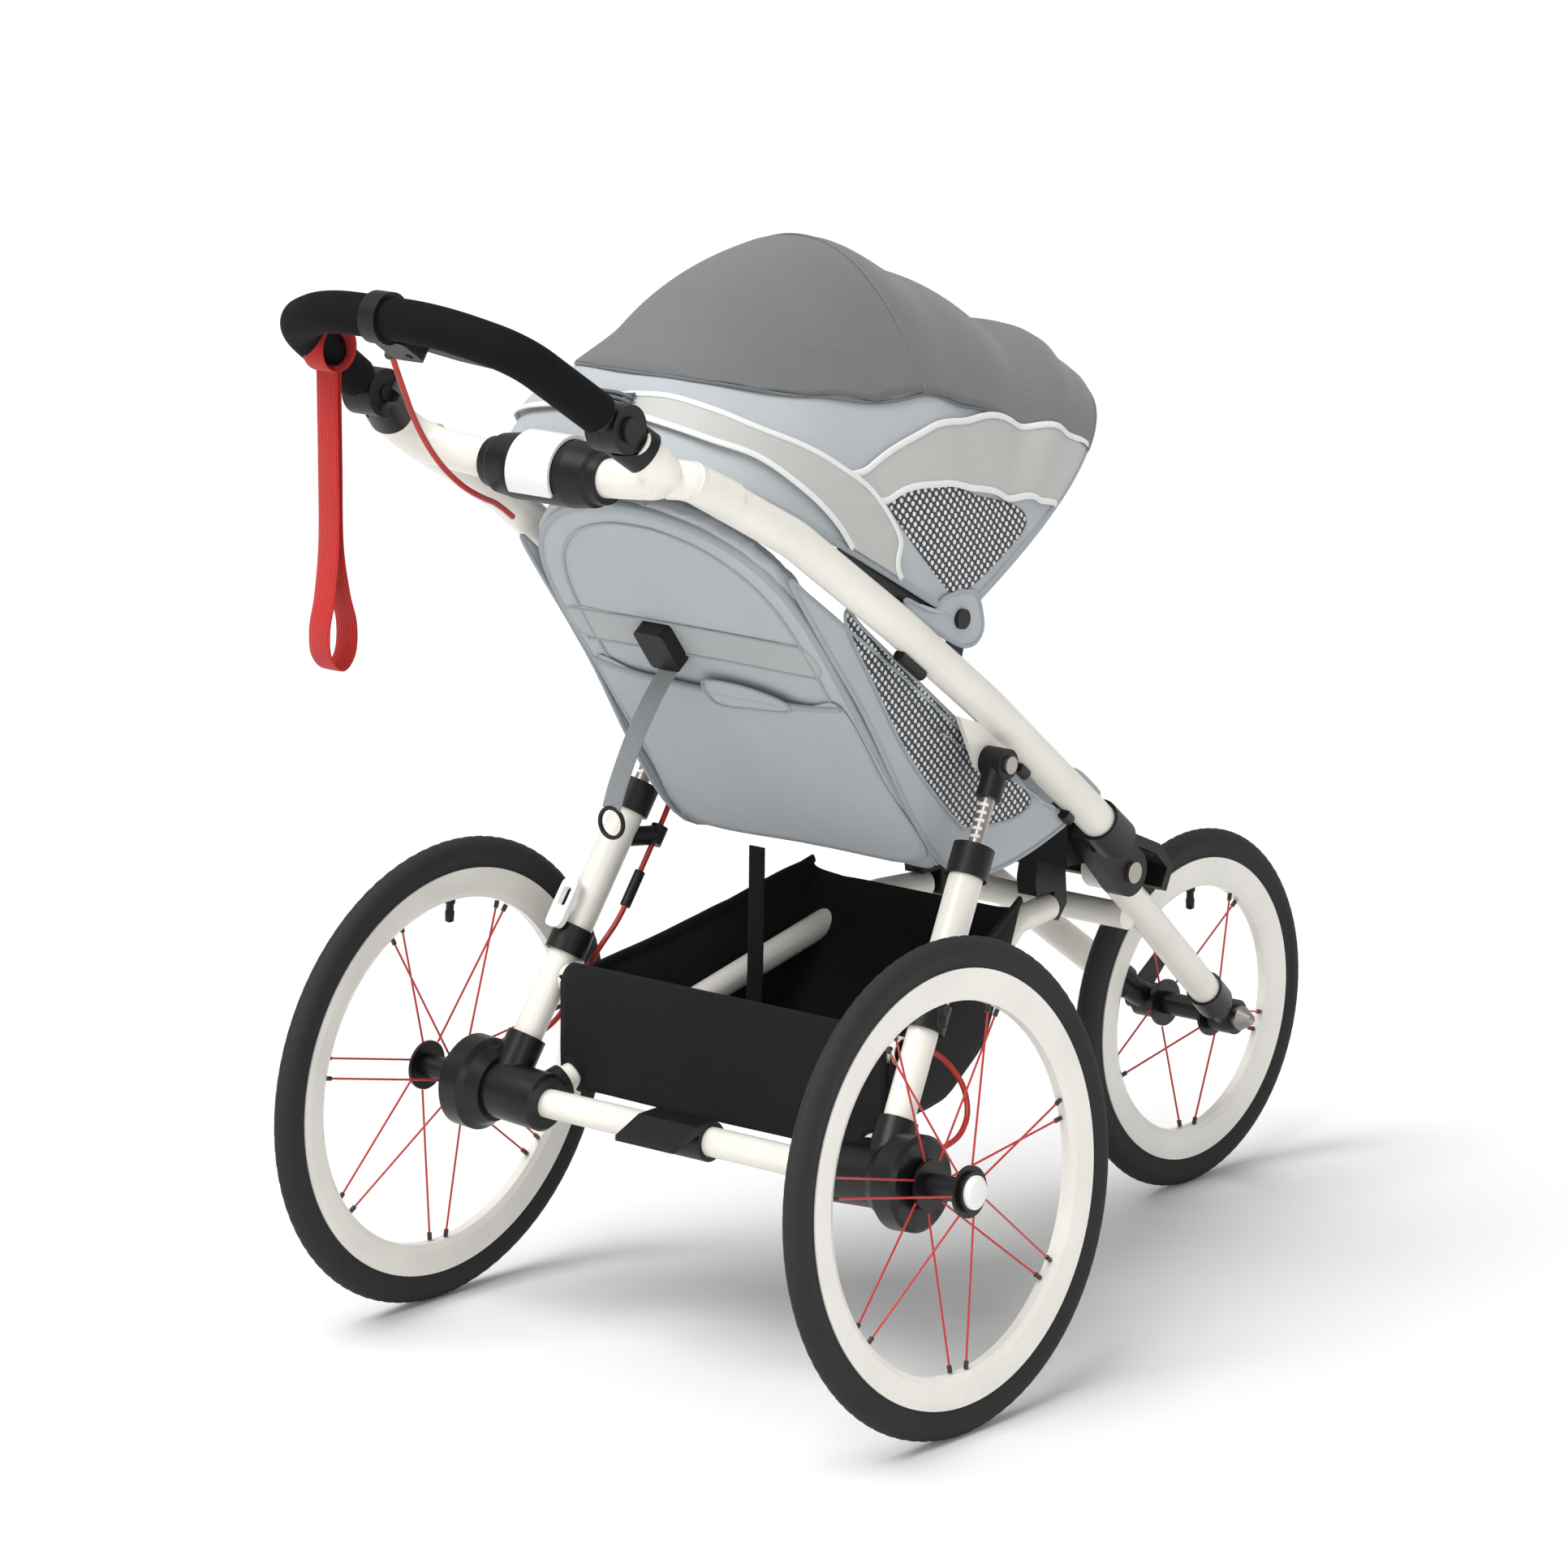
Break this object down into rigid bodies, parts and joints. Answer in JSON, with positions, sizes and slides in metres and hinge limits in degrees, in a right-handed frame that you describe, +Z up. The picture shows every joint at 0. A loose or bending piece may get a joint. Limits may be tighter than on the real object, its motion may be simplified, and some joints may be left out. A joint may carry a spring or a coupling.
{
  "type": "jogging stroller",
  "caption": "Three-wheeled jogging stroller with cream tube frame, spoked wheels, padded reclining seat, ribbed canopy, tilting foam handlebar and under-seat basket.",
  "frame": {"origin": "on the ground under the middle of the stroller's length and width", "axes": "+X is the stroller's right, +Y is forward, +Z is up"},
  "size_m": [0.6604, 1.3312, 1.0202],
  "materials": {
    "cream_paint": "satin cream paint",
    "rim_paint": "satin cream paint",
    "tyre": "fine tread",
    "spoke_paint": "red paint",
    "black_plastic": "fine grain",
    "black_metal": "satin black",
    "white_plastic": "smooth",
    "steel": "brushed",
    "foam": "closed-cell foam",
    "fabric_blue": "woven",
    "fabric_grey": "ribbed",
    "fabric_black": "coarse woven",
    "webbing_grey": "webbing",
    "webbing_red": "ribbed webbing",
    "red_sleeve": "smooth"
  },
  "bodies": {
    "frame": {"side_tube_right": "cream_paint", "side_tube_left": "cream_paint", "bow_tubes": "cream_paint", "centre_housing": "black_plastic", "handlebar_sockets": "black_plastic", "hinge_castings": "black_plastic", "frame_bolts": "steel", "tube_pads": "black_plastic", "seat_pan": "fabric_blue", "seat_sides": "fabric_blue", "footrest": "black_plastic", "latch_block": "black_plastic", "canopy_rear": "fabric_blue", "canopy_middle": "fabric_grey", "canopy_pivots": "black_plastic", "handlebar_cable": "red_sleeve"},
    "handlebar": {"handlebar_grip": "foam", "handlebar_knuckles": "black_plastic", "brake_bracket": "black_plastic", "wrist_strap": "webbing_red"},
    "brake_lever": {"brake_lever": "black_plastic"},
    "release_lever": {"release_lever": "white_plastic"},
    "backrest": {"backrest_shell": "fabric_blue", "backrest_pad": "fabric_blue", "recline_buckle": "black_plastic", "recline_strap": "webbing_grey", "harness_straps": "fabric_black"},
    "canopy_front": {"canopy_bow": "steel", "canopy_visor": "fabric_grey"},
    "rear_chassis": {"axle_housings": "black_metal", "stub_axles": "steel", "cross_tubes": "cream_paint", "leg_tubes": "cream_paint", "leg_collars": "black_plastic", "strut_rods": "steel", "strut_caps": "black_plastic", "rear_rails": "cream_paint", "basket": "fabric_black", "brake_cables": "red_sleeve", "cable_adjuster": "black_plastic"},
    "fold_clip": {"fold_clip": "white_plastic"},
    "parking_pedal": {"parking_pedal": "black_plastic"},
    "wheel_rear_right": {"rear_tyre_right": "tyre", "rear_rim_right": "rim_paint", "rear_spokes_right": "spoke_paint", "rear_hub_right": "black_metal"},
    "wheel_rear_left": {"rear_tyre_left": "tyre", "rear_rim_left": "rim_paint", "rear_spokes_left": "spoke_paint", "rear_hub_left": "black_metal"},
    "hub_button_right": {"hub_button_right": "white_plastic"},
    "hub_button_left": {"hub_button_left": "white_plastic"},
    "fork": {"fork_tubes": "cream_paint", "fork_dropouts": "black_metal", "front_skewer": "steel"},
    "wheel_front": {"front_tyre": "tyre", "front_rim": "rim_paint", "front_spokes": "spoke_paint", "front_hub": "black_metal"},
    "quick_release": {"quick_release": "black_plastic"}
  },
  "joints": [
    {"name": "rear_fold", "type": "hinge", "parent": "frame", "child": "rear_chassis", "pos_m": [0, -0.05466, 0.545], "axis": [1, 0, 0], "range_deg": [-80, 0]},
    {"name": "front_fold", "type": "hinge", "parent": "frame", "child": "fork", "pos_m": [0, 0.21634, 0.385], "axis": [1, 0, 0], "range_deg": [-80, 0]},
    {"name": "handlebar_tilt", "type": "hinge", "parent": "frame", "child": "handlebar", "pos_m": [0, -0.50766, 0.903], "axis": [1, 0, 0], "range_deg": [-20, 25], "deforming": ["handlebar_cable"]},
    {"name": "brake_squeeze", "type": "hinge", "parent": "handlebar", "child": "brake_lever", "pos_m": [0.012, -0.61251, 0.97642], "axis": [0, 0.5736, 0.8192], "range_deg": [-11, 0], "stiffness_Nm_per_rad": 0.5, "springref_deg": 8.59},
    {"name": "fold_release", "type": "hinge", "parent": "frame", "child": "release_lever", "pos_m": [0, -0.43366, 0.84], "axis": [1, 0, 0], "range_deg": [0, 18], "stiffness_Nm_per_rad": 0.5, "springref_deg": -11.46},
    {"name": "backrest_recline", "type": "hinge", "parent": "frame", "child": "backrest", "pos_m": [0, -0.07666, 0.449], "axis": [1, 0, 0], "range_deg": [-16, 0]},
    {"name": "canopy_fold", "type": "hinge", "parent": "frame", "child": "canopy_front", "pos_m": [0, -0.08666, 0.678], "axis": [1, 0, 0], "range_deg": [0, 40], "deforming": ["canopy_middle"]},
    {"name": "clip_lift", "type": "hinge", "parent": "rear_chassis", "child": "fold_clip", "pos_m": [-0.2112, -0.16762, 0.39594], "axis": [-0.9334, 0.3406, -0.1129], "range_deg": [0, 60]},
    {"name": "parking_press", "type": "hinge", "parent": "rear_chassis", "child": "parking_pedal", "pos_m": [0, -0.25666, 0.21136], "axis": [1, 0, 0], "range_deg": [0, 20]},
    {"name": "rear_spin_right", "type": "hinge", "parent": "rear_chassis", "child": "wheel_rear_right", "pos_m": [0.2965, -0.25666, 0.21954], "axis": [0.998, 0, 0.0635], "continuous": true},
    {"name": "rear_spin_left", "type": "hinge", "parent": "rear_chassis", "child": "wheel_rear_left", "pos_m": [-0.2965, -0.25666, 0.21954], "axis": [0.998, 0, -0.0635], "continuous": true},
    {"name": "hub_press_right", "type": "slide", "parent": "wheel_rear_right", "child": "hub_button_right", "axis": [-0.998, 0, -0.0635], "range_m": [0, 0.003], "stiffness_N_per_m": 300, "springref_m": -0.003},
    {"name": "hub_press_left", "type": "slide", "parent": "wheel_rear_left", "child": "hub_button_left", "axis": [0.998, 0, -0.0635], "range_m": [0, 0.003], "stiffness_N_per_m": 300, "springref_m": -0.003},
    {"name": "front_spin", "type": "hinge", "parent": "fork", "child": "wheel_front", "pos_m": [0, 0.48934, 0.1763], "axis": [1, 0, 0], "continuous": true},
    {"name": "quick_release_throw", "type": "hinge", "parent": "fork", "child": "quick_release", "pos_m": [-0.065, 0.48934, 0.1763], "axis": [1, 0, 0], "range_deg": [-140, 0]}
  ],
  "couplings": [
    {"joint": "front_fold", "follows": "rear_fold", "ratio": 1}
  ]
}
